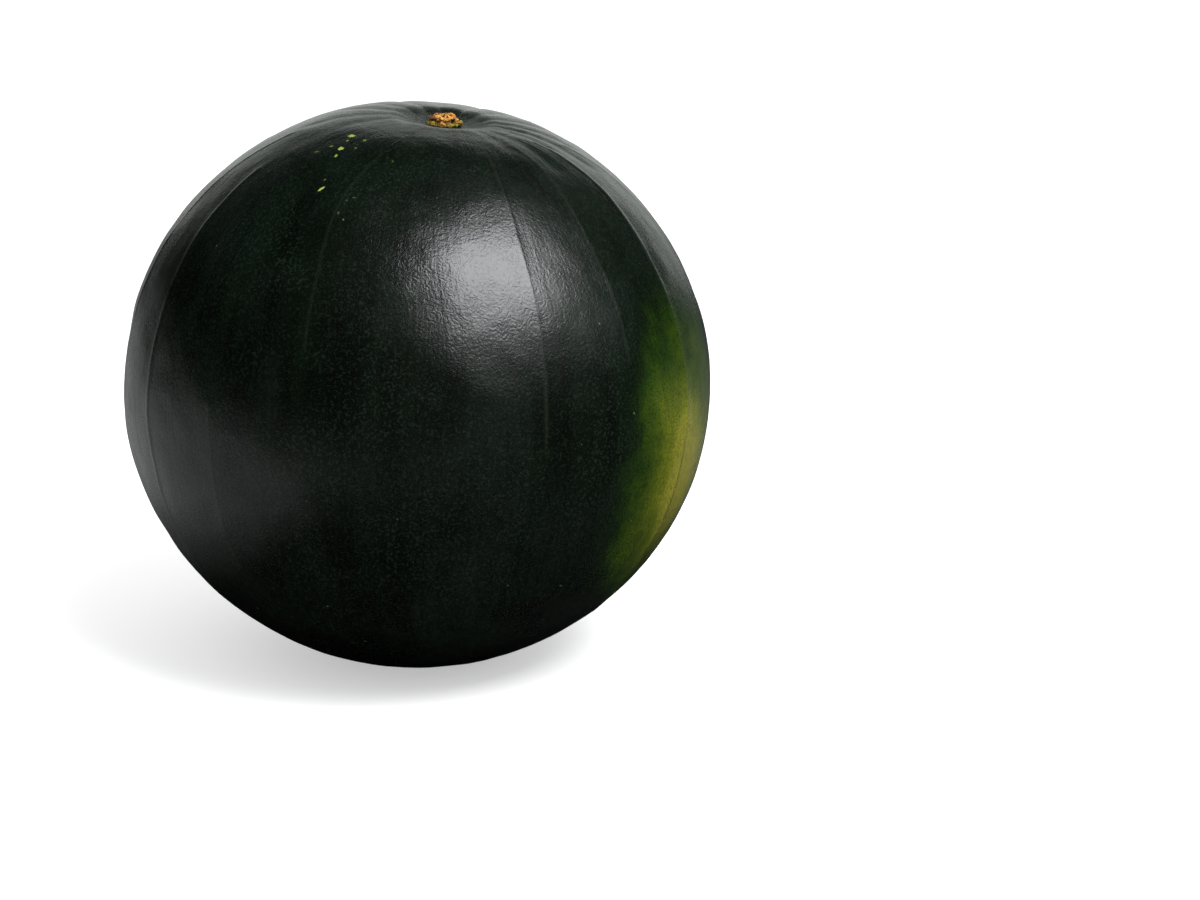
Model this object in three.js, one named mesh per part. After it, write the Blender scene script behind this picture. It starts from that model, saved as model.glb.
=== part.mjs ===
// A round, black-skinned watermelon and the corky stub of its stem.
// Millimetres, +Z up. The fruit stands on its flat spot at z = 0, its axis is Z, and its
// front looks along -Y. Bearings are degrees from the front, positive towards +X.
import * as THREE from 'three';

// The globe, before its flat spot and its dimple are formed
const GLOBE_WIDTH = 264;         // across, between the ribs
const GLOBE_HEIGHT = 256;        // from pole to pole
const REST_RADIUS = 27;          // the flat spot it stands on

// The stem end
const CROWN_SHIFT_X = 11.5;      // how far the stem end sits off the axis, to the right
const CROWN_SHIFT_Y = -9;        // and to the front
const CROWN_SHIFT_REACH = 96;    // radius at which that shift has died away
const DIMPLE_DEPTH = 8.8;        // floor of the dimple below the pole of the globe
const DIMPLE_WALL_WIDTH = 13;    // from the floor's edge out to the lip
const FUNNEL_DEPTH = 3.2;        // shallow hollow around the dimple
const FUNNEL_REACH = 52;         // radius at which the hollow has died away
const FLOOR_MARGIN = 1.6;        // flat floor left free around the stub's foot

// Folds that run into the dimple, and ribs that run from pole to pole
const FOLD_COUNT = 13;
const FOLD_DEPTH = 0.7;
const FOLD_REACH = 70;           // radius at which the folds have died away
const RIB_HEIGHT = 0.8;
const RIB_HALF_WIDTH = 9;        // degrees of bearing
const RIB_BEARINGS = [-62, -44, -23, -2, 23, 42, 62, 82, 103, 122, 143, 163, 184, 203, 224, 243, 262, 280];

// The stub
const STUB_HEIGHT = 6.3;
const STUB_FOOT_RADIUS = 7;
const STUB_WAIST_RADIUS = 4.8;
const STUB_TOP_RADIUS = 5.6;
const STUB_CUP_DEPTH = 0.9;      // hollow in the stub's broken top
const STUB_LOBES = 5;
const STUB_LOBE_DEPTH = 0.09;    // share of the stub's own radius
const SEAT_GAP = 0.3;            // between the stub and the floor of the dimple

// How the stub's outline runs. Heights are shares of its own height.
const FLARE_HEIGHT = 0.18;       // where the foot's flare ends
const FLARE_WIDTH = 1.12;        // radius there, as a share of the waist's
const WAIST_HEIGHT = 0.45;
const WIDEST_HEIGHT = 0.86;      // where the top is widest
const RIM_SHARE = 0.12;          // width of the rounded rim, as a share of the top's radius
const CUP_REACH = 0.5;           // a ring inside the hollow, as a share of the top's radius
const CUP_SHARE = 0.8;           // depth of the hollow at that ring, as a share of its full depth

// How finely the two are cut into facets
const FRUIT_SEGMENTS = 72;
const FRUIT_ROWS = 34;
const CROWN_ROWS = 9;            // rows of facets across the dimple
const STUB_SEGMENTS = 40;
const STUB_ROWS = 14;

const GLOBE_RADIUS = GLOBE_WIDTH / 2;
const GLOBE_HALF_HEIGHT = GLOBE_HEIGHT / 2;
const GLOBE_CENTRE = GLOBE_HALF_HEIGHT * Math.sqrt(1 - (REST_RADIUS / GLOBE_RADIUS) ** 2);
const FLOOR_RADIUS = STUB_FOOT_RADIUS * (1 + STUB_LOBE_DEPTH) + FLOOR_MARGIN;
const LIP_RADIUS = FLOOR_RADIUS + DIMPLE_WALL_WIDTH;
const FLOOR_HEIGHT = GLOBE_CENTRE + GLOBE_HALF_HEIGHT - DIMPLE_DEPTH;

// 0 up to `from`, 1 from `to` on, and smooth between them
function ease(value, from, to) {
  return THREE.MathUtils.smoothstep(value, from, to);
}

function bearingOf(x, y) {
  return THREE.MathUtils.radToDeg(Math.atan2(x, -y));
}

function globeHeightAbove(radius) {
  const share = Math.min(radius / GLOBE_RADIUS, 1);
  return GLOBE_CENTRE + GLOBE_HALF_HEIGHT * Math.sqrt(1 - share * share);
}

// How far the skin stands out at a bearing: 1 on a rib's crest, 0 between the ribs
function ribSwell(bearing) {
  let swell = 0;
  for (const rib of RIB_BEARINGS) {
    const turn = THREE.MathUtils.euclideanModulo(bearing - rib + 180, 360) - 180;
    const off = Math.abs(turn) / RIB_HALF_WIDTH;
    swell = Math.max(swell, 1 - ease(off, 0, 1));
  }
  return swell;
}

// Radius and height of the plain globe's outline, from the flat spot up to the pole.
// The rows lie closest together across the dimple.
function globeProfile() {
  const points = [new THREE.Vector2(0, 0)];
  const start = Math.asin(REST_RADIUS / GLOBE_RADIUS);
  const end = Math.PI - Math.asin(LIP_RADIUS / GLOBE_RADIUS);
  for (let row = 0; row <= FRUIT_ROWS; row += 1) {
    const angle = THREE.MathUtils.lerp(start, end, row / FRUIT_ROWS);
    const height = GLOBE_CENTRE - GLOBE_HALF_HEIGHT * Math.cos(angle);
    points.push(new THREE.Vector2(GLOBE_RADIUS * Math.sin(angle), row === 0 ? 0 : height));
  }
  for (let row = 1; row <= CROWN_ROWS; row += 1) {
    const radius = THREE.MathUtils.lerp(LIP_RADIUS, FLOOR_RADIUS, row / CROWN_ROWS);
    points.push(new THREE.Vector2(radius, globeHeightAbove(radius)));
  }
  points.push(new THREE.Vector2(0, globeHeightAbove(0)));
  return points;
}

// The crown: the stem end moves off the axis and sinks into its dimple
function shapeCrown(point) {
  const radius = Math.hypot(point.x, point.y);
  if (point.z < GLOBE_CENTRE || radius > CROWN_SHIFT_REACH) {
    return;
  }
  const shift = 1 - ease(radius, LIP_RADIUS, CROWN_SHIFT_REACH);
  point.x += CROWN_SHIFT_X * shift;
  point.y += CROWN_SHIFT_Y * shift;
  const funnel = FUNNEL_DEPTH * (1 - ease(radius, 0, FUNNEL_REACH));
  const open = globeHeightAbove(Math.hypot(point.x, point.y)) - funnel;
  point.z = THREE.MathUtils.lerp(FLOOR_HEIGHT, open, ease(radius, FLOOR_RADIUS, LIP_RADIUS));
}

// Ribs and folds push the skin out from the globe's centre. Both die away towards the
// flat spot and towards the floor of the dimple, which stay flat.
function reliefAt(point) {
  const radius = Math.hypot(point.x, point.y);
  const bearing = bearingOf(point.x, point.y);
  const upper = point.z > GLOBE_CENTRE;
  const inner = upper ? FLOOR_RADIUS : REST_RADIUS;
  const rib = RIB_HEIGHT * ribSwell(bearing) * ease(radius, inner, inner + LIP_RADIUS);
  if (!upper) {
    return rib;
  }
  const window = ease(radius, inner, LIP_RADIUS) * (1 - ease(radius, LIP_RADIUS, FOLD_REACH));
  const wave = Math.cos(THREE.MathUtils.degToRad(bearing) * FOLD_COUNT);
  return rib - FOLD_DEPTH * (0.5 - 0.5 * wave) * window;
}

function shapeFruit(geometry) {
  const position = geometry.attributes.position;
  const centre = new THREE.Vector3(0, 0, GLOBE_CENTRE);
  const point = new THREE.Vector3();
  const out = new THREE.Vector3();
  for (let i = 0; i < position.count; i += 1) {
    point.fromBufferAttribute(position, i);
    const relief = reliefAt(point);
    shapeCrown(point);
    out.subVectors(point, centre).normalize();
    point.addScaledVector(out, relief);
    position.setXYZ(i, point.x, point.y, point.z);
  }
  geometry.computeVertexNormals();
}

function makeFruit() {
  const geometry = new THREE.LatheGeometry(globeProfile(), FRUIT_SEGMENTS);
  geometry.rotateX(Math.PI / 2);
  shapeFruit(geometry);
  const rind = new THREE.MeshStandardMaterial({ color: 0x10170f, roughness: 0.38, metalness: 0 });
  const fruit = new THREE.Mesh(geometry, rind);
  fruit.name = 'fruit';
  return fruit;
}

// The stub's outline: a flared foot, a waist, and a rounded rim around a hollow top
function stubProfile() {
  const rim = STUB_TOP_RADIUS * RIM_SHARE;
  const side = new THREE.CatmullRomCurve3([
    new THREE.Vector3(STUB_FOOT_RADIUS, 0, 0),
    new THREE.Vector3(STUB_WAIST_RADIUS * FLARE_WIDTH, STUB_HEIGHT * FLARE_HEIGHT, 0),
    new THREE.Vector3(STUB_WAIST_RADIUS, STUB_HEIGHT * WAIST_HEIGHT, 0),
    new THREE.Vector3(STUB_TOP_RADIUS, STUB_HEIGHT * WIDEST_HEIGHT, 0),
    new THREE.Vector3(STUB_TOP_RADIUS - rim, STUB_HEIGHT, 0),
  ]);
  const points = [new THREE.Vector2(0, 0)];
  for (const spot of side.getPoints(STUB_ROWS)) {
    points.push(new THREE.Vector2(spot.x, spot.y));
  }
  const cupRadius = STUB_TOP_RADIUS * CUP_REACH;
  points.push(new THREE.Vector2(cupRadius, STUB_HEIGHT - STUB_CUP_DEPTH * CUP_SHARE));
  points.push(new THREE.Vector2(0, STUB_HEIGHT - STUB_CUP_DEPTH));
  return points;
}

function makeStemStub() {
  const geometry = new THREE.LatheGeometry(stubProfile(), STUB_SEGMENTS);
  geometry.rotateX(Math.PI / 2);
  const position = geometry.attributes.position;
  for (let i = 0; i < position.count; i += 1) {
    const x = position.getX(i);
    const y = position.getY(i);
    const lobe = 1 + STUB_LOBE_DEPTH * Math.cos(STUB_LOBES * Math.atan2(x, -y));
    position.setXYZ(i, x * lobe, y * lobe, position.getZ(i));
  }
  geometry.computeVertexNormals();
  const cork = new THREE.MeshStandardMaterial({ color: 0x9a7038, roughness: 0.85, metalness: 0 });
  const stub = new THREE.Mesh(geometry, cork);
  stub.name = 'stem_stub';
  stub.position.set(CROWN_SHIFT_X, CROWN_SHIFT_Y, FLOOR_HEIGHT + SEAT_GAP);
  return stub;
}

const watermelon = new THREE.Group();
watermelon.add(makeFruit(), makeStemStub());

export default watermelon;
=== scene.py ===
import math

import bmesh
import bpy
from mathutils import Euler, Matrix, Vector


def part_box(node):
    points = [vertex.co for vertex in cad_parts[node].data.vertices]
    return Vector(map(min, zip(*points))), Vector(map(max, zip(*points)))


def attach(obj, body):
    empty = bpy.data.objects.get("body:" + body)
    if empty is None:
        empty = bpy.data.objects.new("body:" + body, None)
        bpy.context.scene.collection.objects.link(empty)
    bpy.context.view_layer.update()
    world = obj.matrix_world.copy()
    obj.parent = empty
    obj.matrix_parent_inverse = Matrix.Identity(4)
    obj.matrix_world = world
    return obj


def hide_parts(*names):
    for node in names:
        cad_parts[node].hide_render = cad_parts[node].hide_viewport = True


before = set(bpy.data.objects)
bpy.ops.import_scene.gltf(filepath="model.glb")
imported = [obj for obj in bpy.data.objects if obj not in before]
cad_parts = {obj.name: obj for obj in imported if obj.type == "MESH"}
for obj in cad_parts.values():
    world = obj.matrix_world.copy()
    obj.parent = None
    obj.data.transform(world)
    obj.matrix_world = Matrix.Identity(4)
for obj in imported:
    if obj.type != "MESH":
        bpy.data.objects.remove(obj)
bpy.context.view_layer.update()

# ================================================================ places and sizes
# Metres and degrees, +Z up, front towards -Y. Bearings run from the front, positive towards +X.
fruit_low, fruit_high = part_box("fruit")
stub_low, stub_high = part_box("stem_stub")

RIB = 0.0007                                  # how far a rib of full height stands out of the globe
RIB_ROOM = 0.6                                # share of RIB left free inside the CAD model's width
GLOBE_SQUAT = 0.9697                          # the globe's height as a share of its width
GLOBE_RADIUS = (fruit_high.x - fruit_low.x) / 2 - RIB * RIB_ROOM
GLOBE_HALF_HEIGHT = GLOBE_RADIUS * GLOBE_SQUAT
REST_RADIUS = 0.027                           # the flat spot that the fruit stands on
GLOBE_CENTRE = GLOBE_HALF_HEIGHT * math.sqrt(1 - (REST_RADIUS / GLOBE_RADIUS) ** 2)
MIDDLE = Vector((0, 0, GLOBE_CENTRE))
GROWTH_LEAN = 3.4                             # degrees that the ribs' own axis leans back
POLE_OFFSET = math.sin(math.radians(GROWTH_LEAN)) * GLOBE_HALF_HEIGHT
BLOSSOM = Vector((0, -POLE_OFFSET, 0))        # the flower's end, under the fruit

STEM = Vector(((stub_low.x + stub_high.x) / 2, (stub_low.y + stub_high.y) / 2, 0))
SEAT_GAP = 0.0003                             # between the stub and the floor of the dimple
SEAT = stub_low.z - SEAT_GAP                  # floor of the dimple
FOOT = Vector((STEM.x, STEM.y, SEAT))         # the middle of that floor
FOOT_RADIUS = 0.0086                          # flat floor around the stub's foot
DIMPLE_WALL = 0.0165                          # from that floor out to the lip
LIP_RADIUS, LIP_HEIGHT = 0.0165, 0.0012       # the dimple's lip stands up a little at the front
FUNNEL_DEPTH = 0.0032                         # shallow hollow around the dimple
FUNNEL_REACH = 0.046
LIP_TURN, LIP_BAND = 40, 0.0012               # degrees to either side of the front, and breadth
LIP_SPREAD = 0.0075
CROWN_CAP = 0.018                             # what moves whole when the crown leans
CROWN_SPREAD = 0.085                          # and how far round it the skin follows

COLUMNS = 180
COLUMN_TURN = 360 / COLUMNS                   # degrees from one column of points to the next
ON_COLUMN = COLUMN_TURN * 0.2                 # a point this near to a rib's bearing lies on it
IN_FOLD = COLUMN_TURN * 0.85                  # and this near to a fold's, in it
RINGS = 90
RIB_SPREAD = 0.022                            # how far a rib's swelling reaches to its sides
CREST_HALF_WIDTH = 0.0011                     # the fine raised line on a rib
CREST_HEIGHT = 0.00036
WANDER_SIZE, WANDER_WIDTH = 0.045, 0.0022     # how the ribs stray sideways
SWELL_SIZE, SWELL_HEIGHT = 0.014, 0.00042     # broad unevenness of the skin
RIPPLE_SIZE, RIPPLE_HEIGHT = 0.006, 0.00010   # and the finer one on it
BLOSSOM_CAP, BLOSSOM_DEPTH = 0.0025, 0.0009   # hollow at the flower's end
BLOSSOM_SPREAD = 0.0060
FLAT = 0.0001                                 # what lies this low belongs to the flat spot
LEVEL = 0.000001                              # an edge that rises less than this is level

# Each rib: its bearing, its height as a share of RIB, how far down and up it shows as
# shares of the globe's half height, and how strong the fine line on it is.
RIBS = [
    (-62, 0.3, -0.72, 0.80, 1.0), (-42, 0.15, -0.80, 0.10, 0.25), (-22, 0.2, 0.30, 0.90, 0.4),
    (24, 0.45, -0.05, 0.90, 0.7), (44, 0.3, 0.20, 0.94, 0.4), (62, 0.85, -0.75, 0.94, 1.0),
    (80, 0.4, -0.70, 0.90, 0.8), (102, 0.3, -0.75, 0.86, 0.5), (122, 0.5, -0.70, 0.92, 0.9),
    (144, 0.3, -0.65, 0.84, 0.4), (164, 0.5, -0.75, 0.90, 0.8), (184, 0.3, -0.70, 0.88, 0.5),
    (204, 0.6, -0.72, 0.92, 1.0), (222, 0.3, -0.60, 0.84, 0.4), (242, 0.5, -0.74, 0.90, 0.8),
    (260, 0.3, -0.70, 0.86, 0.6), (280, 0.4, -0.72, 0.90, 0.8),
]

# Folds that run into the dimple: bearing about the stem, from and to radius, depth, breadth
FOLDS = [
    (-112, 0.018, 0.050, 0.0004, 0.006), (-90, 0.018, 0.062, 0.0004, 0.006),
    (-72, 0.020, 0.046, 0.0003, 0.007), (42, 0.018, 0.044, 0.0003, 0.006),
    (56, 0.016, 0.060, 0.0004, 0.006), (70, 0.015, 0.050, 0.0004, 0.005),
    (81, 0.014, 0.068, 0.0006, 0.005), (95, 0.014, 0.060, 0.0006, 0.005),
    (112, 0.016, 0.056, 0.0005, 0.006), (134, 0.016, 0.042, 0.0004, 0.007),
    (158, 0.016, 0.052, 0.0005, 0.006), (184, 0.017, 0.040, 0.0004, 0.007),
    (206, 0.016, 0.054, 0.0005, 0.006), (228, 0.016, 0.046, 0.0004, 0.006),
]


# ================================================================ modelling helpers
def activate(piece):
    bpy.ops.object.select_all(action="DESELECT")
    piece.select_set(True)
    bpy.context.view_layer.objects.active = piece


def start_edit(piece):
    activate(piece)
    bpy.ops.object.mode_set(mode="EDIT")
    bpy.ops.mesh.select_mode(type="VERT")
    bpy.ops.mesh.select_all(action="DESELECT")


def end_edit():
    bpy.ops.object.mode_set(mode="OBJECT")


def pick(piece, wanted):
    """Selects the vertices whose place answers to wanted."""
    bpy.ops.mesh.select_all(action="DESELECT")
    mesh = bmesh.from_edit_mesh(piece.data)
    for vert in mesh.verts:
        vert.select = wanted(vert.co)
    mesh.select_flush_mode()
    bmesh.update_edit_mesh(piece.data)


def pick_edges(piece, wanted):
    """Selects the edges whose two ends answer to wanted."""
    bpy.ops.mesh.select_all(action="DESELECT")
    mesh = bmesh.from_edit_mesh(piece.data)
    for edge in mesh.edges:
        first, second = edge.verts
        if wanted(first.co, second.co):
            edge.select = True
    bmesh.update_edit_mesh(piece.data)


def move(value, reach):
    """Moves what is picked, and its surroundings with it as far as reach."""
    bpy.ops.transform.translate(
        value=value, use_proportional_edit=True,
        proportional_edit_falloff="SMOOTH", proportional_size=reach,
    )


def swell(height, reach=0.0, falloff="SHARP"):
    """Moves what is picked along its normals, and its surroundings with it as far as reach."""
    bpy.ops.transform.shrink_fatten(
        value=height, use_proportional_edit=reach > 0,
        proportional_edit_falloff=falloff, proportional_size=max(reach, 0.001),
    )


def stretch(value, centre):
    bpy.ops.transform.resize(value=value, center_override=centre, use_proportional_edit=False)


def apply_modifier(piece, name, kind, **values):
    activate(piece)
    modifier = piece.modifiers.new(name, kind)
    for key, value in values.items():
        setattr(modifier, key, value)
    bpy.ops.object.modifier_apply(modifier=name)


def refine(piece, levels):
    apply_modifier(piece, "finer", "SUBSURF", levels=levels, render_levels=levels)


def roughen(piece, name, size, height, depth=2):
    """Raises and lowers the surface by a cloudy pattern of the given size."""
    pattern = bpy.data.textures.new(name, "CLOUDS")
    pattern.noise_scale = size
    pattern.noise_depth = depth
    apply_modifier(
        piece, name, "DISPLACE", texture=pattern, texture_coords="LOCAL",
        strength=height, mid_level=0.5,
    )


def bearing(place, centre=Vector((0, 0, 0))):
    """The bearing of a place about a centre, in degrees."""
    return math.degrees(math.atan2(place.x - centre.x, -(place.y - centre.y)))


def turn_between(first, second):
    """The angle from one bearing to another, from -180 to 180 degrees."""
    return (first - second + 180) % 360 - 180


def around(place, centre):
    """The level distance of a place from a centre."""
    return math.hypot(place.x - centre.x, place.y - centre.y)


def outward(side):
    """The level direction of a bearing."""
    angle = math.radians(side)
    return Vector((math.sin(angle), -math.cos(angle), 0))


# ================================================================ the fruit
def start_globe():
    bpy.ops.object.select_all(action="DESELECT")
    bpy.ops.mesh.primitive_uv_sphere_add(
        segments=COLUMNS, ring_count=RINGS, radius=GLOBE_RADIUS, location=MIDDLE,
        scale=(1, 1, GLOBE_HALF_HEIGHT / GLOBE_RADIUS),
    )
    fruit = bpy.context.object
    fruit.name = "melon_rind"
    bpy.ops.object.transform_apply(location=True, rotation=True, scale=True)
    return fruit


def keep_growth_places(fruit):
    """Stores each point's place on the plain globe, which patterns that follow the ribs read."""
    grown = fruit.data.attributes.new("grown", "FLOAT_VECTOR", "POINT")
    for index, vert in enumerate(fruit.data.vertices):
        grown.data[index].vector = vert.co - MIDDLE
    fruit.data.attributes.new("crest", "FLOAT", "POINT")


def cut_crown_rings(fruit):
    """Puts two more rings between each pair across the dimple."""
    def meridional(first, second):
        high = min(first.z, second.z) > GLOBE_CENTRE
        near = max(around(first, MIDDLE), around(second, MIDDLE)) < FUNNEL_REACH
        return high and near and abs(first.z - second.z) > LEVEL

    pick_edges(fruit, meridional)
    bpy.ops.mesh.subdivide(number_cuts=2, quadcorner="INNERVERT")


def raise_ribs(fruit):
    for rib, share, low, high, line in RIBS:
        bottom = GLOBE_CENTRE + low * GLOBE_HALF_HEIGHT
        top = GLOBE_CENTRE + high * GLOBE_HALF_HEIGHT

        def on_rib(place):
            along = abs(turn_between(bearing(place), rib)) < ON_COLUMN
            return along and bottom < place.z < top

        pick(fruit, on_rib)
        swell(RIB * share, RIB_SPREAD)
        if line > 0:
            raise_crest(fruit, on_rib, line)


def raise_crest(fruit, on_rib, line):
    """Draws the fine raised line along a rib, and marks it for the rind's colours."""
    pick_edges(fruit, lambda first, second: on_rib(first) and on_rib(second))
    bpy.ops.mesh.bevel(offset=CREST_HALF_WIDTH, segments=2, affect="EDGES")
    pick(fruit, on_rib)
    mesh = bmesh.from_edit_mesh(fruit.data)
    crest = mesh.verts.layers.float.get("crest")
    for vert in mesh.verts:
        if vert.select:
            vert[crest] = line
    bmesh.update_edit_mesh(fruit.data)
    swell(CREST_HEIGHT * line)


def wander(fruit):
    """Lets the ribs stray a little to either side of their meridians."""
    pattern = bpy.data.textures.new("wander", "CLOUDS")
    pattern.noise_scale = WANDER_SIZE
    for axis in ("X", "Y"):
        apply_modifier(
            fruit, "wander", "DISPLACE", texture=pattern, texture_coords="LOCAL",
            direction=axis, strength=WANDER_WIDTH, mid_level=0.5,
        )


def lean_growth(fruit):
    """Leans the whole ribbed globe back, so that its ribs don't meet right over its middle."""
    bpy.ops.mesh.select_all(action="SELECT")
    bpy.ops.transform.rotate(
        value=math.radians(GROWTH_LEAN), orient_axis="X", center_override=MIDDLE,
    )


def lean_crown(fruit):
    """Turns the stem end about the globe's middle to its place: first back or forth, then aside."""
    crown = Vector((0, POLE_OFFSET, 0))
    for axis, amount in (("X", STEM.y - POLE_OFFSET), ("Y", -STEM.x)):
        pick(fruit, lambda place: place.z > GLOBE_CENTRE and around(place, crown) < CROWN_CAP)
        bpy.ops.transform.rotate(
            value=amount / GLOBE_HALF_HEIGHT, orient_axis=axis, center_override=MIDDLE,
            use_proportional_edit=True, proportional_edit_falloff="SMOOTH",
            proportional_size=CROWN_SPREAD,
        )
        crown.y = STEM.y


def sink_dimple(fruit):
    """Presses the shallow hollow and the dimple with its flat floor, and lifts the lip's front."""
    def on_floor(place):
        return place.z > GLOBE_CENTRE and around(place, STEM) < FOOT_RADIUS

    pick(fruit, on_floor)
    move((0, 0, -FUNNEL_DEPTH), FUNNEL_REACH)
    pick(fruit, on_floor)
    mesh = bmesh.from_edit_mesh(fruit.data)
    heights = [vert.co.z for vert in mesh.verts if vert.select]
    move((0, 0, SEAT - sum(heights) / len(heights)), DIMPLE_WALL)
    pick(fruit, on_floor)
    stretch((1, 1, 0), (0, 0, SEAT))

    def on_lip(place):
        ahead = place.z > GLOBE_CENTRE and abs(bearing(place, STEM)) < LIP_TURN
        return ahead and abs(around(place, STEM) - LIP_RADIUS) < LIP_BAND

    pick(fruit, on_lip)
    move((0, 0, LIP_HEIGHT), LIP_SPREAD)


def press_folds(fruit):
    for fold, inner, outer, depth, breadth in FOLDS:
        def in_fold(place):
            if place.z < GLOBE_CENTRE or not inner < around(place, STEM) < outer:
                return False
            return abs(turn_between(bearing(place, STEM), fold)) < IN_FOLD

        pick(fruit, in_fold)
        swell(-depth, breadth)


def flatten_rest(fruit):
    """Brings the foot of the globe to the ground."""
    pick(fruit, lambda place: place.z < FLAT)
    stretch((1, 1, 0), (0, 0, 0))


def sink_blossom_end(fruit):
    """The small hollow that the flower leaves in the flat spot."""
    pick(fruit, lambda place: place.z < FLAT and around(place, BLOSSOM) < BLOSSOM_CAP)
    move((0, 0, BLOSSOM_DEPTH), BLOSSOM_SPREAD)


def shape_fruit():
    fruit = start_globe()
    keep_growth_places(fruit)
    start_edit(fruit)
    cut_crown_rings(fruit)
    raise_ribs(fruit)
    end_edit()
    wander(fruit)
    start_edit(fruit)
    lean_growth(fruit)
    lean_crown(fruit)
    sink_dimple(fruit)
    press_folds(fruit)
    flatten_rest(fruit)
    sink_blossom_end(fruit)
    end_edit()
    refine(fruit, 1)
    roughen(fruit, "swells", SWELL_SIZE, SWELL_HEIGHT)
    roughen(fruit, "ripples", RIPPLE_SIZE, RIPPLE_HEIGHT)
    start_edit(fruit)
    flatten_rest(fruit)
    end_edit()
    bpy.ops.object.shade_smooth()
    return fruit


# ================================================================ the stub of the stem
# Each ring of the stub: its height over the seat and its radius
STUB_RINGS = [
    (0.0000, 0.0064), (0.0006, 0.0060), (0.0014, 0.0054), (0.0022, 0.0052),
    (0.0029, 0.0056), (0.0035, 0.0058), (0.0041, 0.0051), (0.0043, 0.0037),
    (0.0041, 0.0022), (0.0039, 0.0008),
]
STUB_SHOULDER = 0.0041                        # the lobes end at this height over the seat
STUB_EDGE = 0.0045                            # and show outside this radius
STUB_SEGMENTS = 40
LOBE_BEARINGS = [-150, -78, -8, 64, 136]
LOBE_TURN = 6                                 # degrees to either side of a lobe's middle
LOBE_HEIGHT, LOBE_SPREAD = 0.0008, 0.0024

# How the stem broke off: bearing, radius and rise of each spot of the stub's top
TEARS = [
    (-100, 0.0045, -0.0010), (150, 0.0014, 0.0010), (78, 0.0046, -0.0016), (10, 0.0036, -0.0006),
]
TOP_HEIGHT = 0.0034                           # the stub's top lies above this height over the seat
TEAR_CAP, TEAR_SPREAD = 0.0012, 0.0026
LUMP_SIZE, LUMP_HEIGHT = 0.0020, 0.0024       # the cork's broad unevenness
CHIP_SIZE, CHIP_HEIGHT = 0.0007, 0.00060      # and the finer one on it
CHIP_DEPTH = 3                                # how many finer copies of itself that one holds


def start_rings(name, rings, segments, centre, base):
    """A closed turned shape, built up ring by ring from a disc."""
    bpy.ops.object.select_all(action="DESELECT")
    first_height, first_radius = rings[0]
    bpy.ops.mesh.primitive_circle_add(
        vertices=segments, radius=first_radius, fill_type="NGON",
        location=(centre.x, centre.y, base + first_height),
    )
    piece = bpy.context.object
    piece.name = name
    bpy.ops.object.transform_apply(location=True, rotation=True, scale=True)
    start_edit(piece)
    bpy.ops.mesh.select_all(action="SELECT")
    height, radius = first_height, first_radius
    for next_height, next_radius in rings[1:]:
        bpy.ops.mesh.extrude_region_move(
            TRANSFORM_OT_translate={"value": (0, 0, next_height - height)},
        )
        share = next_radius / radius
        stretch((share, share, 1), (centre.x, centre.y, base + next_height))
        height, radius = next_height, next_radius
    bpy.ops.mesh.select_all(action="SELECT")
    bpy.ops.mesh.normals_make_consistent(inside=False)
    bpy.ops.mesh.select_all(action="DESELECT")
    return piece


def shape_stub():
    stub = start_rings("stem_cork", STUB_RINGS, STUB_SEGMENTS, STEM, SEAT)
    for lobe in LOBE_BEARINGS:
        def on_lobe(place):
            side = place.z < SEAT + STUB_SHOULDER and around(place, STEM) > STUB_EDGE
            return side and abs(turn_between(bearing(place, STEM), lobe)) < LOBE_TURN

        pick(stub, on_lobe)
        swell(LOBE_HEIGHT, LOBE_SPREAD, "SMOOTH")
    tear_top(stub)
    end_edit()
    refine(stub, 2)
    roughen(stub, "cork_lumps", LUMP_SIZE, LUMP_HEIGHT)
    roughen(stub, "cork_crumbs", CHIP_SIZE, CHIP_HEIGHT, CHIP_DEPTH)
    refine(stub, 1)
    bpy.ops.object.shade_smooth()
    return stub


def tear_top(stub):
    """The stem broke off unevenly: it stands highest near its middle and is lowest on the right."""
    for side, radius, rise in TEARS:
        spot = STEM + outward(side) * radius

        def near_tear(place):
            return place.z > SEAT + TOP_HEIGHT and around(place, spot) < TEAR_CAP

        pick(stub, near_tear)
        move((0, 0, rise), TEAR_SPREAD)


# Each scrap of the collar: bearing about the stem, how far it reaches out, how high it stands
SCRAPS = [
    (-128, 0.0006, 0.0003), (-88, 0.0016, 0.0006), (-58, 0.0005, 0.0010), (-26, -0.0004, 0.0003),
    (8, -0.0006, 0.0008), (36, -0.0002, 0.0002), (74, 0.0020, 0.0009), (96, 0.0014, 0.0002),
    (132, 0.0007, 0.0006), (176, 0.0008, 0.0008),
]
COLLAR_RADIUS, COLLAR_THICKNESS = 0.0057, 0.0009
COLLAR_RISE = 0.0005                          # its middle over the seat
COLLAR_BACK = 0.0003                          # how far it lies behind the stem's middle
SCRAP_EDGE, SCRAP_TURN = 0.0060, 8            # a scrap starts outside this radius; degrees each way
SCRAP_SPREAD = 0.0020
COLLAR_SEGMENTS, COLLAR_SIDES = 56, 10
COLLAR_LUMP_SIZE, COLLAR_LUMP_HEIGHT = 0.0017, 0.0020
COLLAR_CHIP_SIZE, COLLAR_CHIP_HEIGHT = 0.0006, 0.0005


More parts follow.
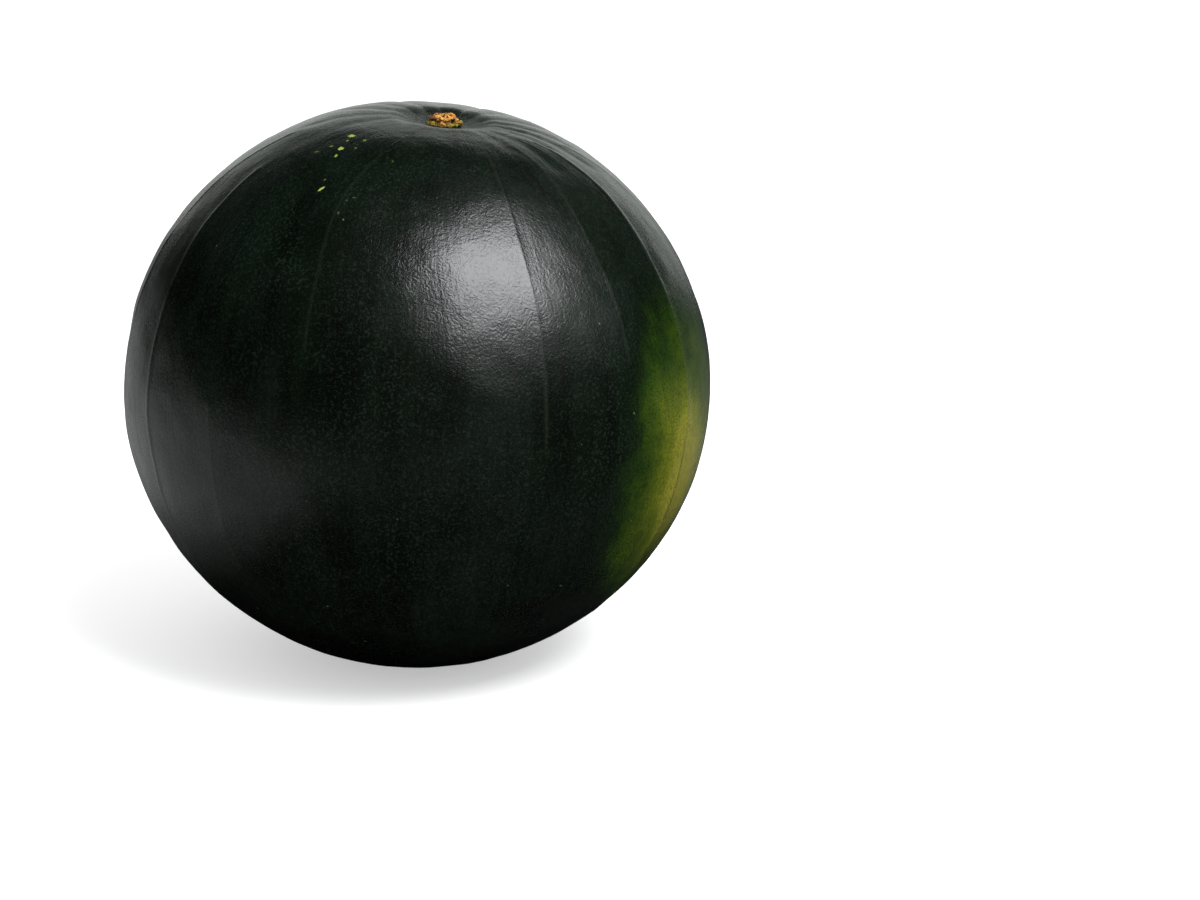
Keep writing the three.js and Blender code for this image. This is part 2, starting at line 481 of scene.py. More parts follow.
def shape_collar():
    """The torn green and yellow rim that the stem leaves on the rind."""
    bpy.ops.object.select_all(action="DESELECT")
    bpy.ops.mesh.primitive_torus_add(
        major_segments=COLLAR_SEGMENTS, minor_segments=COLLAR_SIDES,
        major_radius=COLLAR_RADIUS, minor_radius=COLLAR_THICKNESS,
        location=(STEM.x, STEM.y + COLLAR_BACK, SEAT + COLLAR_RISE),
    )
    collar = bpy.context.object
    collar.name = "stem_collar"
    bpy.ops.object.transform_apply(location=True, rotation=True, scale=True)
    start_edit(collar)
    for side, reach, rise in SCRAPS:
        def at_scrap(place):
            outer = around(place, STEM) > SCRAP_EDGE
            return outer and abs(turn_between(bearing(place, STEM), side)) < SCRAP_TURN

        pick(collar, at_scrap)
        move(outward(side) * reach + Vector((0, 0, rise)), SCRAP_SPREAD)
    end_edit()
    refine(collar, 2)
    roughen(collar, "collar_lumps", COLLAR_LUMP_SIZE, COLLAR_LUMP_HEIGHT)
    roughen(collar, "collar_crumbs", COLLAR_CHIP_SIZE, COLLAR_CHIP_HEIGHT, CHIP_DEPTH)
    bpy.ops.object.shade_smooth()
    return collar


# ================================================================ node helpers
def add_node(tree, kind, label, **values):
    """A labelled node of the tree; values set its properties."""
    node = tree.nodes.new(kind)
    node.label = label
    for key, value in values.items():
        setattr(node, key, value)
    return node


def feed(tree, source, target):
    tree.links.new(source, target)


def plug(tree, socket, value):
    """Sets a socket to a number or colour, or links another node's output to it."""
    if isinstance(value, bpy.types.NodeSocket):
        tree.links.new(value, socket)
    else:
        socket.default_value = value


def maths(tree, operation, first, second=0.0, third=0.0):
    """A sum on numbers or sockets. Returns its result's socket."""
    node = tree.nodes.new("ShaderNodeMath")
    node.operation = operation
    for socket, value in zip(node.inputs, (first, second, third)):
        plug(tree, socket, value)
    return node.outputs["Value"]


def vectors(tree, operation, first, second=(0, 0, 0), scale=1.0):
    """The same on vectors. A dot product and a length give a number."""
    node = tree.nodes.new("ShaderNodeVectorMath")
    node.operation = operation
    plug(tree, node.inputs[0], first)
    plug(tree, node.inputs[1], second)
    if operation == "SCALE":
        plug(tree, node.inputs["Scale"], scale)
    return node.outputs["Value" if operation in ("DOT_PRODUCT", "LENGTH") else "Vector"]


def ease(tree, value, low, high, out_low=0.0, out_high=1.0):
    """A smooth step from out_low to out_high as value goes from low to high."""
    node = tree.nodes.new("ShaderNodeMapRange")
    node.interpolation_type = "SMOOTHSTEP"
    plug(tree, node.inputs["Value"], value)
    names = ("From Min", "From Max", "To Min", "To Max")
    for name, bound in zip(names, (low, high, out_low, out_high)):
        plug(tree, node.inputs[name], bound)
    return node.outputs["Result"]


def blend_colours(tree, share, first, second, kind="MIX"):
    """The first colour with the second one blended over it by the given share."""
    node = tree.nodes.new("ShaderNodeMix")
    node.data_type = "RGBA"
    node.blend_type = kind
    plug(tree, node.inputs["Factor"], share)
    plug(tree, node.inputs[6], first)
    plug(tree, node.inputs[7], second)
    return node.outputs[2]


def noise(tree, vector, scale, detail=2.0, roughness=0.5, distortion=0.0):
    """A cloudy pattern around 0.5, with scale swellings to the metre."""
    node = tree.nodes.new("ShaderNodeTexNoise")
    plug(tree, node.inputs["Vector"], vector)
    plug(tree, node.inputs["Scale"], scale)
    node.inputs["Detail"].default_value = detail
    node.inputs["Roughness"].default_value = roughness
    node.inputs["Distortion"].default_value = distortion
    return node.outputs["Fac"]


def colour_steps(tree, value, steps):
    """A colour ramp with the given (place, colour) steps."""
    node = tree.nodes.new("ShaderNodeValToRGB")
    ramp = node.color_ramp
    while len(ramp.elements) < len(steps):
        ramp.elements.new(1.0)
    for element, (place, colour) in zip(ramp.elements, steps):
        element.position = place
        element.color = (*colour, 1)
    plug(tree, node.inputs["Fac"], value)
    return node.outputs["Color"]


def new_group(name, inputs, outputs):
    """A node group with named sockets. Returns its tree, what goes in and what comes out."""
    group = bpy.data.node_groups.new(name, "ShaderNodeTree")
    for label, (kind, value) in inputs.items():
        socket = group.interface.new_socket(label, in_out="INPUT", socket_type="NodeSocket" + kind)
        if value is not None:
            socket.default_value = value
    for label, kind in outputs.items():
        group.interface.new_socket(label, in_out="OUTPUT", socket_type="NodeSocket" + kind)
    source = group.nodes.new("NodeGroupInput").outputs
    sink = group.nodes.new("NodeGroupOutput").inputs
    return group, source, sink


def use_group(tree, group, **values):
    """Places a group in the tree with its own values. Returns its outputs."""
    node = tree.nodes.new("ShaderNodeGroup")
    node.node_tree = group
    for label, value in values.items():
        plug(tree, node.inputs[label], value)
    return node.outputs


def raise_relief(tree, shader, height):
    """Turns a height in metres into the shader's relief."""
    bump = tree.nodes.new("ShaderNodeBump")
    bump.inputs["Distance"].default_value = 1.0
    feed(tree, height, bump.inputs["Height"])
    feed(tree, bump.outputs["Normal"], shader.inputs["Normal"])


# ================================================================ shared patterns
# The grain: the scale of its waves and how far they push it, how steep and how blunt its
# creases are, and the scale and the height of the finer pattern on it
WAVE_SHARE, WAVE_REACH = 0.4, 5.0
CREASE_SLOPE, CREASE_BLUNTNESS = 3.0, 0.7
FINER_SHARE, FINER_HEIGHT = 1.35, 0.9

FLECK_EDGE, FLECK_CORE = 1.15, 0.65           # where a fleck fades, as shares of its half sizes
FLECK_CRUMBS = 900.0                          # scale of its ragged edge


def streak_group():
    """Streaks that run from pole to pole, close together where the ribs meet."""
    group, source, sink = new_group(
        "streaks",
        {"Vector": ("Vector", None), "Across": ("Float", 20.0), "Along": ("Float", 2.0)},
        {"Streaks": "Float"},
    )
    flat = vectors(group, "MULTIPLY", source["Vector"], (1, 1, 0))
    ring = vectors(group, "SCALE", vectors(group, "NORMALIZE", flat), scale=source["Across"])
    split = group.nodes.new("ShaderNodeSeparateXYZ")
    plug(group, split.inputs[0], vectors(group, "NORMALIZE", source["Vector"]))
    rise = maths(group, "MULTIPLY", split.outputs["Z"], source["Along"])
    join = group.nodes.new("ShaderNodeCombineXYZ")
    plug(group, join.inputs["Z"], rise)
    place = vectors(group, "ADD", ring, join.outputs[0])
    feed(group, noise(group, place, 1.0, 3.0, 0.6, 0.3), sink["Streaks"])
    return group


def grain_group():
    """Fine leathery grain: low swellings parted by wandering creases of about the given scale."""
    group, source, sink = new_group(
        "grain",
        {"Vector": ("Vector", None), "Scale": ("Float", 400.0), "Wander": ("Float", 0.4)},
        {"Grain": "Float"},
    )
    waves = group.nodes.new("ShaderNodeTexNoise")
    plug(group, waves.inputs["Vector"], source["Vector"])
    plug(group, waves.inputs["Scale"], maths(group, "MULTIPLY", source["Scale"], WAVE_SHARE))
    centred = vectors(group, "SUBTRACT", waves.outputs["Color"], (0.5, 0.5, 0.5))
    reach = maths(group, "DIVIDE", source["Wander"], source["Scale"])
    shift = vectors(group, "SCALE", centred, scale=maths(group, "MULTIPLY", reach, WAVE_REACH))
    place = vectors(group, "ADD", source["Vector"], shift)
    soft = maths(group, "SUBTRACT", noise(group, place, source["Scale"], 0.0, 0.5), 0.5)
    crease = maths(group, "MULTIPLY", maths(group, "ABSOLUTE", soft), CREASE_SLOPE)
    crease = maths(group, "POWER", crease, CREASE_BLUNTNESS)
    fine = noise(group, place, maths(group, "MULTIPLY", source["Scale"], FINER_SHARE), 0.5, 0.5)
    feed(group, maths(group, "MULTIPLY_ADD", fine, FINER_HEIGHT, crease), sink["Grain"])
    return group


def fleck_group():
    """One pale mark at a place, with its half sizes given by two crossing vectors."""
    group, source, sink = new_group(
        "fleck",
        {"Vector": ("Vector", None), "Place": ("Vector", None), "Across": ("Vector", None),
         "Along": ("Vector", None), "Raggedness": ("Float", 0.5)},
        {"Mask": "Float"},
    )
    away = vectors(group, "SUBTRACT", source["Vector"], source["Place"])
    across = vectors(group, "DOT_PRODUCT", away, source["Across"])
    along = vectors(group, "DOT_PRODUCT", away, source["Along"])
    join = group.nodes.new("ShaderNodeCombineXYZ")
    plug(group, join.inputs["X"], across)
    plug(group, join.inputs["Y"], along)
    ragged = maths(group, "SUBTRACT", noise(group, source["Vector"], FLECK_CRUMBS, 3.0, 0.6), 0.5)
    ragged = maths(group, "MULTIPLY", ragged, source["Raggedness"])
    spread = maths(group, "ADD", vectors(group, "LENGTH", join.outputs[0]), ragged)
    feed(group, ease(group, spread, FLECK_EDGE, FLECK_CORE), sink["Mask"])
    return group


STREAKS = streak_group()
GRAIN = grain_group()
FLECK = fleck_group()

# ================================================================ the rind
SKIN_DARK = (0.0003, 0.0011, 0.0003, 1)
SKIN_LIGHT = (0.0012, 0.0042, 0.0012, 1)
BLOOM_COLOUR = (0.0034, 0.0062, 0.0046, 1)
GRAIN_COLOUR = (0.0054, 0.0108, 0.0066, 1)
FLECK_COLOUR = (0.21, 0.27, 0.045, 1)
SPECK_COLOUR = (0.09, 0.11, 0.06, 1)
SPECK_SCALE, SPECK_SHARE = 130, 0.20          # cells to the metre, and how many of them hold a speck
SPECK_EDGE, SPECK_CORE = 0.075, 0.035         # its outer and inner radius, as shares of a cell
SPECK_STRENGTH = 0.7
CREST_COLOUR = (0.012, 0.018, 0.010, 1)
CREST_STRENGTH = 0.6
SCAR_COLOUR = (0.13, 0.085, 0.035, 1)
SCAR_RADIUS = 0.0042                          # the scar at the blossom end

# Colours of the ground patch, from its rim (0) to its middle (1)
GROUND_COLOURS = [
    (0.00, (0.0025, 0.0065, 0.0008)), (0.30, (0.007, 0.020, 0.0005)),
    (0.55, (0.022, 0.038, 0.0005)), (0.80, (0.060, 0.073, 0.0012)),
    (1.00, (0.140, 0.132, 0.011)),
]

# Scales of the patterns in the skin, and their heights in metres
GRAIN_SCALE, GRAIN_HEIGHT = 600.0, 0.000045
CRUMB_SCALE, CRUMB_HEIGHT = 800.0, 0.00003
PORE_SCALE, PORE_HEIGHT = 1600.0, 0.000007
STREAK_HEIGHT = 0.00009
CROWN_STREAKS = 1.6                           # how much stronger the streaks are at the stem
CROWN_STREAKS_EDGE, CROWN_STREAKS_CORE = 0.085, 0.020       # where that ends, and where it is full
BROAD_STREAKS, FINE_STREAKS = 9.0, 46.0       # the higher, the closer they lie
CLOUD_SCALE, BLOOM_SCALE = 26.0, 13.0
SKIN_ROUGHNESS, CLOUD_ROUGHNESS, PIT_ROUGHNESS = 0.22, 0.12, 0.06
SKIN_SPECULAR = 0.38

# Pale flecks: bearing, height over the middle as a share of the globe's half height,
# half width, half length, turn in degrees and strength
FLECKS = [
    (-38, 0.936, 0.0018, 0.0012, 0, 0.8), (-37, 0.924, 0.0007, 0.0009, 0, 0.35),
    (-28, 0.929, 0.0009, 0.0008, 0, 0.35), (-36, 0.904, 0.0014, 0.0013, 0, 0.85),
    (-35, 0.886, 0.0007, 0.0011, 15, 0.6), (-42, 0.906, 0.0010, 0.0006, 20, 0.3),
    (-46, 0.888, 0.0012, 0.0005, 30, 0.3), (-29, 0.909, 0.0006, 0.0007, 0, 0.2),
    (-31, 0.799, 0.0006, 0.0020, -30, 1.0), (-32, 0.824, 0.0005, 0.0007, 0, 0.2),
    (-19, 0.782, 0.0010, 0.0004, 0, 0.14), (-21, 0.773, 0.0007, 0.0004, 0, 0.10),
    (-22, 0.738, 0.0005, 0.0010, 0, 0.12), (-10, 0.883, 0.0005, 0.0007, 0, 0.12),
]

FLECK_RAGGEDNESS = 1.1

PATCH_BEARING, PATCH_HEIGHT = 65, -0.21       # middle of the ground patch
PATCH_REACH = 0.068                           # from its middle sideways to where it has faded away
PATCH_UPRIGHT = 0.68                          # its width as a share of its height
STREAK_FRAY, CLOUD_FRAY, MOTTLE_FRAY = 0.35, 0.45, 0.28     # how much each pattern frays it
MOTTLE_SCALE = 75.0


def on_globe(side, height):
    """The place, the east and the upward tangent on the globe at a bearing and height share."""
    angle = math.radians(side)
    ring = math.sqrt(1 - height * height)
    out = outward(side)
    east = Vector((math.cos(angle), math.sin(angle), 0))
    place = MIDDLE + out * GLOBE_RADIUS * ring + Vector((0, 0, height * GLOBE_HALF_HEIGHT))
    up = Vector((0, 0, 1)) * ring - out * height
    return place, east, up.normalized()


def fleck_mask(tree, coordinates):
    """All the pale flecks of FLECKS together."""
    total = None
    for side, height, half_width, half_length, turn, strength in FLECKS:
        place, east, up = on_globe(side, height)
        lean = math.radians(turn)
        across = east * math.cos(lean) + up * math.sin(lean)
        along = up * math.cos(lean) - east * math.sin(lean)
        mask = use_group(
            tree, FLECK, Vector=coordinates, Place=place, Across=across / half_width,
            Along=along / half_length, Raggedness=FLECK_RAGGEDNESS,
        )["Mask"]
        mask = maths(tree, "MULTIPLY", mask, strength)
        total = mask if total is None else maths(tree, "MAXIMUM", total, mask)
    return total


def speck_mask(tree, coordinates):
    """Tiny pale specks, in one of every few cells of a loose scatter."""
    cells = tree.nodes.new("ShaderNodeTexVoronoi")
    plug(tree, cells.inputs["Vector"], coordinates)
    cells.inputs["Scale"].default_value = SPECK_SCALE
    near = ease(tree, cells.outputs["Distance"], SPECK_EDGE, SPECK_CORE)
    split = tree.nodes.new("ShaderNodeSeparateColor")
    plug(tree, split.inputs[0], cells.outputs["Color"])
    chosen = maths(tree, "GREATER_THAN", split.outputs["Red"], 1 - SPECK_SHARE)
    strength = maths(tree, "MULTIPLY", chosen, split.outputs["Green"])
    return maths(tree, "MULTIPLY", near, strength)


def patch_mask(tree, coordinates, streaks, cloud):
    """The ground patch: 1 in its middle, 0 outside, its rim frayed by streaks and clouds."""
    place, _, _ = on_globe(PATCH_BEARING, PATCH_HEIGHT)
    away = vectors(tree, "SUBTRACT", coordinates, place)
    away = vectors(tree, "MULTIPLY", away, (1, 1, PATCH_UPRIGHT))
    reach = maths(tree, "DIVIDE", vectors(tree, "LENGTH", away), PATCH_REACH)
    mottle = noise(tree, coordinates, MOTTLE_SCALE, 4.0, 0.65, 0.4)
    frays = ((streaks, STREAK_FRAY), (cloud, CLOUD_FRAY), (mottle, MOTTLE_FRAY))
    for pattern, amount in frays:
        centred = maths(tree, "SUBTRACT", pattern, 0.5)
        reach = maths(tree, "MULTIPLY_ADD", centred, amount, reach)
    return ease(tree, reach, 1.05, 0.05)


def scar_mask(tree, grown, ragged):
    """The small corky scar at the blossom end."""
    away = vectors(tree, "LENGTH", vectors(tree, "SUBTRACT", grown, (0, 0, -GLOBE_HALF_HEIGHT)))
    away = maths(tree, "MULTIPLY_ADD", ragged, SCAR_RADIUS, away)
    # ragged is about a half, so half a radius more puts the scar's edge at its radius
    return ease(tree, away, SCAR_RADIUS * 1.65, SCAR_RADIUS * 1.35)


def rind_material():
    """The skin: nearly black, with a ground patch, fine lines on the ribs, flecks and a scar."""
    material = bpy.data.materials.new("rind")
    material.use_nodes = True
    tree = material.node_tree
    shader = tree.nodes["Principled BSDF"]
    place = tree.nodes.new("ShaderNodeTexCoord").outputs["Object"]
    grown = add_node(tree, "ShaderNodeAttribute", "growth", attribute_name="grown").outputs["Vector"]
    crest = add_node(tree, "ShaderNodeAttribute", "crest", attribute_name="crest").outputs["Fac"]

    broad = use_group(tree, STREAKS, Vector=grown, Across=BROAD_STREAKS, Along=1.2)["Streaks"]
    fine = use_group(tree, STREAKS, Vector=grown, Across=FINE_STREAKS, Along=3.0)["Streaks"]
    cloud = noise(tree, place, CLOUD_SCALE, 4.0, 0.6, 0.2)
    grain = use_group(tree, GRAIN, Vector=place, Scale=GRAIN_SCALE, Wander=0.5)["Grain"]
    crumbs = noise(tree, place, CRUMB_SCALE, 1.0, 0.5)

    colour = skin_colour(tree, place, broad, fine, cloud, crumbs)
    streaks = maths(tree, "MULTIPLY_ADD", fine, 0.4, maths(tree, "MULTIPLY", broad, 0.6))
    patch = patch_mask(tree, place, streaks, cloud)
    ground = colour_steps(tree, patch, GROUND_COLOURS)
    colour = blend_colours(tree, ease(tree, patch, 0.0, 0.40), colour, ground)
    # Painted shade: the skin's colour is darkened in the creases of its grain.
    painted_crease_shade = ease(tree, grain, 0.45, 0.95, 0.62, 1.0)
    colour = blend_colours(tree, 1.0, colour, painted_crease_shade, "MULTIPLY")
    line = maths(tree, "MULTIPLY", crest, ease(tree, fine, 0.35, 0.60))
    line = maths(tree, "MULTIPLY", line, CREST_STRENGTH)
    colour = blend_colours(tree, line, colour, CREST_COLOUR)
    specks = maths(tree, "MULTIPLY", speck_mask(tree, place), SPECK_STRENGTH)
    colour = blend_colours(tree, specks, colour, SPECK_COLOUR)
    colour = blend_colours(tree, fleck_mask(tree, place), colour, FLECK_COLOUR)
    colour = blend_colours(tree, scar_mask(tree, grown, crumbs), colour, SCAR_COLOUR)
    feed(tree, colour, shader.inputs["Base Color"])

    rough = maths(tree, "MULTIPLY_ADD", cloud, CLOUD_ROUGHNESS, SKIN_ROUGHNESS)
    rough = maths(tree, "MULTIPLY_ADD", ease(tree, crumbs, 0.44, 0.30), PIT_ROUGHNESS, rough)
    feed(tree, rough, shader.inputs["Roughness"])
    shader.inputs["Specular IOR Level"].default_value = SKIN_SPECULAR
    raise_relief(tree, shader, skin_relief(tree, place, grain, crumbs, fine))
    return material


def skin_colour(tree, place, broad, fine, cloud, crumbs):
    """Nearly black green, with a faint grey bloom and paler grains in it."""
    tone = maths(tree, "MULTIPLY_ADD", cloud, 0.4, maths(tree, "MULTIPLY", broad, 0.6))
    colour = blend_colours(tree, ease(tree, tone, 0.35, 0.68), SKIN_DARK, SKIN_LIGHT)
    bloom = ease(tree, noise(tree, place, BLOOM_SCALE, 5.0, 0.60, 0.8), 0.40, 0.72)
    bloom = maths(tree, "MULTIPLY", bloom, ease(tree, fine, 0.30, 0.62, 0.35, 0.85))
    colour = blend_colours(tree, bloom, colour, BLOOM_COLOUR)
    clouded = ease(tree, cloud, 0.35, 0.60, 0.25, 0.75)
    speckle = maths(tree, "MULTIPLY", ease(tree, crumbs, 0.50, 0.66), clouded)
    return blend_colours(tree, speckle, colour, GRAIN_COLOUR)


def skin_relief(tree, place, grain, crumbs, fine):
    """The leathery grain and the streaks, which are strongest around the stem."""
    pores = noise(tree, place, PORE_SCALE, 2.0, 0.6)
    from_stem = vectors(tree, "LENGTH", vectors(tree, "SUBTRACT", place, FOOT))
    near_stem = ease(tree, from_stem, CROWN_STREAKS_EDGE, CROWN_STREAKS_CORE)
    height = maths(tree, "MULTIPLY", grain, GRAIN_HEIGHT)
    height = maths(tree, "MULTIPLY_ADD", pores, PORE_HEIGHT, height)
    height = maths(tree, "MULTIPLY_ADD", crumbs, CRUMB_HEIGHT, height)
    strength = maths(tree, "MULTIPLY_ADD", near_stem, CROWN_STREAKS, 1.0)
    drawn = maths(tree, "MULTIPLY", fine, strength)
    return maths(tree, "MULTIPLY_ADD", drawn, STREAK_HEIGHT, height)


# ================================================================ the stub's cork
# The pale, deep and green colour of each finish, and how high its green reaches
CORK_COLOURS = (0.44, 0.215, 0.036, 1), (0.12, 0.042, 0.006, 1), (0.13, 0.085, 0.012, 1)
CORK_GREEN_TOP = 0.0012
RIM_COLOURS = (0.34, 0.24, 0.036, 1), (0.07, 0.042, 0.007, 1), (0.20, 0.175, 0.017, 1)
RIM_GREEN_TOP = 0.0016
CORK_SPECULAR = 0.25
CORK_CRUMB_SCALE, CORK_CRUMB_HEIGHT = 1100.0, 0.00008
# The second scale is the size of the painted shade in the cork's crevices.
CORK_CLOUD_SCALE, CREVICE_SHADE_SCALE = 420.0, 380.0
FIBRES = 9.0                                  # how close the fibres lie
FIBRE_HEIGHT = 0.00022
FIBRE_CENTRE = 0.004                          # the fibres fan out from this far under the seat
GREEN_WANDER = 0.0024                         # how far the green's edge goes up and down


def cork_material(name, pale, deep, green, green_top):
    """Dry fibrous cork, greener from its foot up to green_top, with painted light on its upward
    faces and painted shade on its downward ones.
    """
    material = bpy.data.materials.new(name)
    material.use_nodes = True
    tree = material.node_tree
    shader = tree.nodes["Principled BSDF"]
    place = tree.nodes.new("ShaderNodeTexCoord").outputs["Object"]
    local = vectors(tree, "SUBTRACT", place, FOOT)
    fanned = vectors(tree, "ADD", local, (0, 0, FIBRE_CENTRE))
    fibres = use_group(tree, STREAKS, Vector=fanned, Across=FIBRES, Along=1.5)["Streaks"]
    crumbs = use_group(tree, GRAIN, Vector=place, Scale=CORK_CRUMB_SCALE, Wander=0.6)["Grain"]
    cloud = noise(tree, place, CORK_CLOUD_SCALE, 4.0, 0.65)
    tone = maths(tree, "MULTIPLY_ADD", cloud, 0.5, maths(tree, "MULTIPLY", fibres, 0.5))
    colour = blend_colours(tree, ease(tree, tone, 0.40, 0.60), deep, pale)
    # Painted light and shade: the cork's colour is lighter where it faces up and darker where it
    # faces down.
    upward = tree.nodes.new("ShaderNodeSeparateXYZ")
    plug(tree, upward.inputs[0], tree.nodes.new("ShaderNodeNewGeometry").outputs["Normal"])
    painted_light_and_shade = ease(tree, upward.outputs["Z"], -0.1, 0.8, 0.42, 1.15)
    colour = blend_colours(tree, 1.0, colour, painted_light_and_shade, "MULTIPLY")
    # Painted shade: dark lines in the colour stand for the shade inside the cork's crevices.
    painted_crevice_shade = ease(tree, noise(tree, place, CREVICE_SHADE_SCALE, 2.0, 0.6, 0.8), 0.38, 0.48, 0.12, 1.0)
    colour = blend_colours(tree, 1.0, colour, painted_crevice_shade, "MULTIPLY")
    split = tree.nodes.new("ShaderNodeSeparateXYZ")
    plug(tree, split.inputs[0], local)
    foot = maths(tree, "SUBTRACT", split.outputs["Z"], GREEN_WANDER / 2)
    foot = maths(tree, "MULTIPLY_ADD", cloud, GREEN_WANDER, foot)
    colour = blend_colours(tree, ease(tree, foot, green_top, 0.0), colour, green)
    feed(tree, colour, shader.inputs["Base Color"])
    feed(tree, ease(tree, cloud, 0.2, 0.8, 0.72, 0.92), shader.inputs["Roughness"])
    shader.inputs["Specular IOR Level"].default_value = CORK_SPECULAR
    height = maths(tree, "MULTIPLY", crumbs, CORK_CRUMB_HEIGHT)
    raise_relief(tree, shader, maths(tree, "MULTIPLY_ADD", fibres, FIBRE_HEIGHT, height))
    return material


# ================================================================ camera, floor, light
CAMERA_DISTANCE = 1.5
CAMERA_ELEVATION = 14
CAMERA_WIDTH_SEEN = 0.5429                    # metres across the view at the melon
CAMERA_OFF_X, CAMERA_OFF_Y = -0.0822, 0.0299  # how far the melon's middle sits off the view's
SENSOR_WIDTH = 36
WHITE = (1.0, 1.0, 1.0, 1)

FLOOR_SIZE, FLOOR_DROP = 8, 0.0002            # the floor lies this far under the melon's flat spot
FLOOR_TONE = (0.65, 0.65, 0.65, 1)
FLOOR_LIFT = 0.45                             # the light that the floor adds of its own, to the eye

# How much of the floor the gloss mirrors on the left, behind, and elsewhere: painted light and shade
# in the floor's colour for glossy rays
FLOOR_LEFT, FLOOR_BEHIND, FLOOR_ELSEWHERE = 0.33, 0.10, 0.010
FLOOR_MIRRORED_TINT = (0.95, 1.0, 0.965)

# The white card that only the gloss mirrors
CARD_ASIDE, CARD_ELEVATION = 0.10, 5
CARD_NARROWING = 0.85                         # shrinks ways to the side, so the card is wider
CARD_EDGE, CARD_CORE = 32, 14                 # degrees from its middle, from dark to light
CARD_DARK, CARD_LIGHT = 0.008, 1.1
CARD_TINT = (0.94, 1.0, 0.955)

# Each softbox: its way from the melon, distance, width and height, brightness and tint
SOFTBOXES = {
    "key": ((0.42, -0.44, 0.80), 1.3, (0.84, 0.73), 15, (0.965, 0.965, 1.0)),
    "halo": ((0.56, -0.43, 0.70), 1.7, (1.7, 1.6), 1.0, (0.96, 1.0, 0.98)),
}


def set_camera():
    elevation = math.radians(CAMERA_ELEVATION)
    data = bpy.data.cameras.new("camera")
    data.sensor_width = SENSOR_WIDTH
    data.lens = SENSOR_WIDTH * CAMERA_DISTANCE / CAMERA_WIDTH_SEEN
    camera = bpy.data.objects.new("camera", data)
    bpy.context.collection.objects.link(camera)
    way = Vector((0, -math.cos(elevation), math.sin(elevation)))
    camera.location = MIDDLE + way * CAMERA_DISTANCE
    aim = (-way).to_track_quat("-Z", "Y")
    down = Euler((-math.atan(CAMERA_OFF_Y / CAMERA_DISTANCE), 0, 0)).to_quaternion()
    side = Euler((0, math.atan(CAMERA_OFF_X / CAMERA_DISTANCE), 0)).to_quaternion()
    camera.rotation_mode = "QUATERNION"
    camera.rotation_quaternion = aim @ side @ down
    bpy.context.scene.camera = camera


def lay_floor():
    """A white floor with a light shadow. Gloss mirrors it faintly, most to the left and behind,
    through painted light and shade in its colour for glossy rays.
    """
    bpy.ops.object.select_all(action="DESELECT")
    bpy.ops.mesh.primitive_plane_add(size=FLOOR_SIZE, location=(0, 0, -FLOOR_DROP))
    floor = bpy.context.object
    floor.name = "floor"
    material = bpy.data.materials.new("white_sweep")
    material.use_nodes = True
    tree = material.node_tree
    shader = tree.nodes["Principled BSDF"]
    path = tree.nodes.new("ShaderNodeLightPath")
    place = tree.nodes.new("ShaderNodeTexCoord").outputs["Object"]
    split = tree.nodes.new("ShaderNodeSeparateXYZ")
    plug(tree, split.inputs[0], place)
    # Painted light and shade for reflections: to glossy rays the floor is dark in front of the melon
    # and lighter to its left and behind.
    left = ease(tree, split.outputs["X"], -0.10, -0.26, 0.0, FLOOR_LEFT)
    beside = maths(tree, "MULTIPLY", left, ease(tree, split.outputs["Y"], -0.42, -0.12, 0.25, 1.0))
    behind = ease(tree, split.outputs["Y"], 0.05, 0.30, FLOOR_ELSEWHERE, FLOOR_BEHIND)
    mirrored = maths(tree, "MAXIMUM", beside, behind)
    mirrored = vectors(tree, "SCALE", FLOOR_MIRRORED_TINT, scale=mirrored)
    tone = blend_colours(tree, path.outputs["Is Glossy Ray"], FLOOR_TONE, mirrored)
    feed(tree, tone, shader.inputs["Base Color"])
    lift = maths(tree, "MULTIPLY", path.outputs["Is Camera Ray"], FLOOR_LIFT)
    feed(tree, lift, shader.inputs["Emission Strength"])
    shader.inputs["Emission Color"].default_value = WHITE
    shader.inputs["Roughness"].default_value = 0.9
    shader.inputs["Specular IOR Level"].default_value = 0.0
    floor.data.materials.append(material)


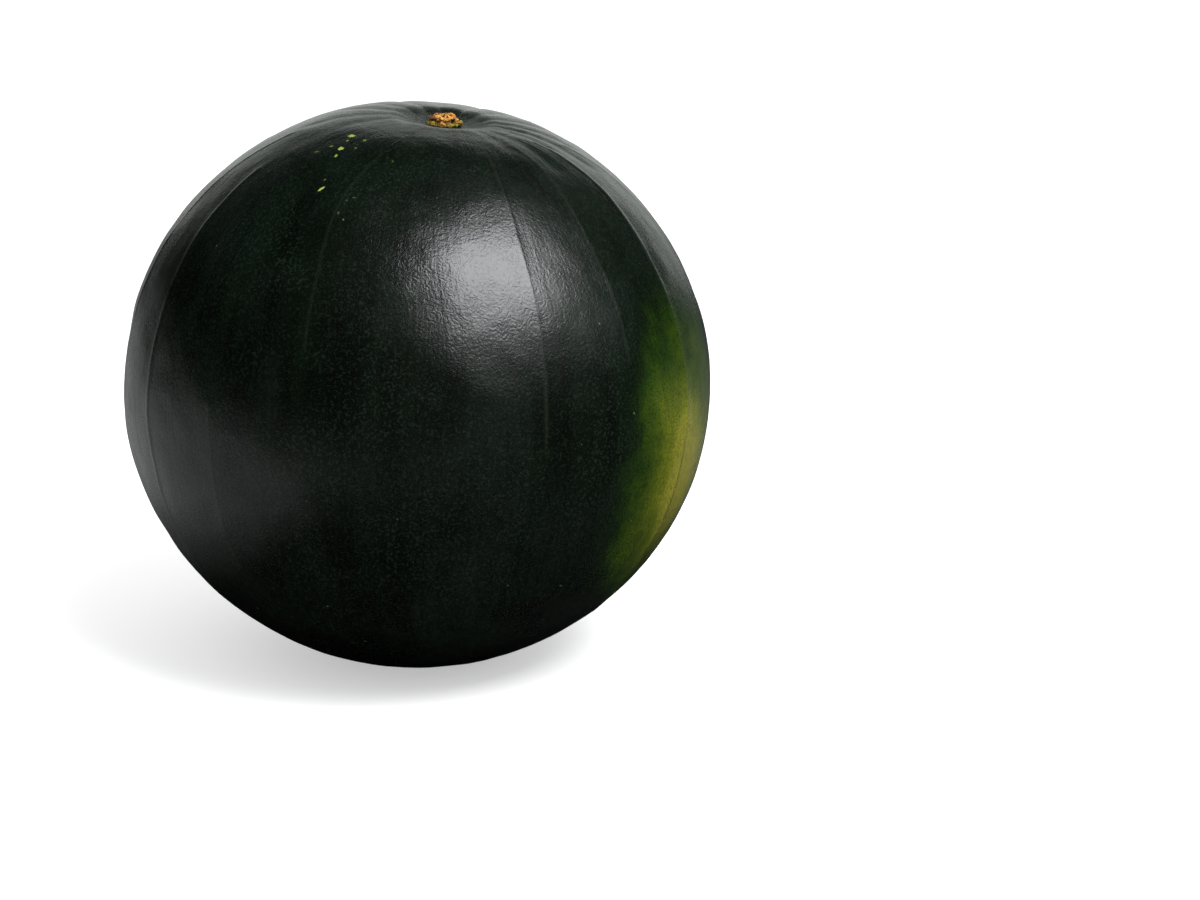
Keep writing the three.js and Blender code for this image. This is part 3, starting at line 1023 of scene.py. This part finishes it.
def add_softbox(name, way, distance, size, brightness, tint):
    """A soft white lamp that faces the melon's middle."""
    data = bpy.data.lights.new(name, "AREA")
    data.color = tint
    data.shape = "RECTANGLE"
    data.size, data.size_y = size
    data.energy = math.pi * size[0] * size[1] * brightness
    lamp = bpy.data.objects.new(name, data)
    bpy.context.collection.objects.link(lamp)
    way = Vector(way).normalized()
    lamp.location = MIDDLE + way * distance
    lamp.rotation_mode = "QUATERNION"
    lamp.rotation_quaternion = way.to_track_quat("Z", "Y")


def light_studio():
    """White all round to the eye and to matt surfaces; gloss mirrors one soft white card behind."""
    world = bpy.data.worlds.new("studio")
    bpy.context.scene.world = world
    world.use_nodes = True
    tree = world.node_tree
    tree.nodes.clear()
    out = tree.nodes.new("ShaderNodeOutputWorld")
    path = tree.nodes.new("ShaderNodeLightPath")
    way = tree.nodes.new("ShaderNodeTexCoord").outputs["Generated"]
    rise = math.radians(CARD_ELEVATION)
    card_way = Vector((CARD_ASIDE, math.cos(rise), math.sin(rise))).normalized()
    narrowed = vectors(tree, "NORMALIZE", vectors(tree, "MULTIPLY", way, (CARD_NARROWING, 1, 1)))
    towards_card = vectors(tree, "DOT_PRODUCT", narrowed, card_way)
    edge, core = math.cos(math.radians(CARD_EDGE)), math.cos(math.radians(CARD_CORE))
    card = ease(tree, towards_card, edge, core, CARD_DARK, CARD_LIGHT)
    card = vectors(tree, "SCALE", CARD_TINT, scale=card)
    strength = blend_colours(tree, path.outputs["Is Diffuse Ray"], card, WHITE)
    strength = blend_colours(tree, path.outputs["Is Camera Ray"], strength, WHITE)
    light = tree.nodes.new("ShaderNodeBackground")
    feed(tree, strength, light.inputs["Color"])
    feed(tree, light.outputs["Background"], out.inputs["Surface"])
    for name, values in SOFTBOXES.items():
        add_softbox(name, *values)


# ================================================================ putting it together
def finish_piece(piece, node, material):
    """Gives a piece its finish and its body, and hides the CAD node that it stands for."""
    piece.data.materials.clear()
    piece.data.materials.append(material)
    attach(piece, "root")
    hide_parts(node)


set_camera()
lay_floor()
light_studio()
bpy.context.scene.view_settings.view_transform = "Standard"

finish_piece(shape_fruit(), "fruit", rind_material())
cork = cork_material("cork", *CORK_COLOURS, CORK_GREEN_TOP)
finish_piece(shape_stub(), "stem_stub", cork)
torn_rim = cork_material("torn_rim", *RIM_COLOURS, RIM_GREEN_TOP)
finish_piece(shape_collar(), "stem_stub", torn_rim)
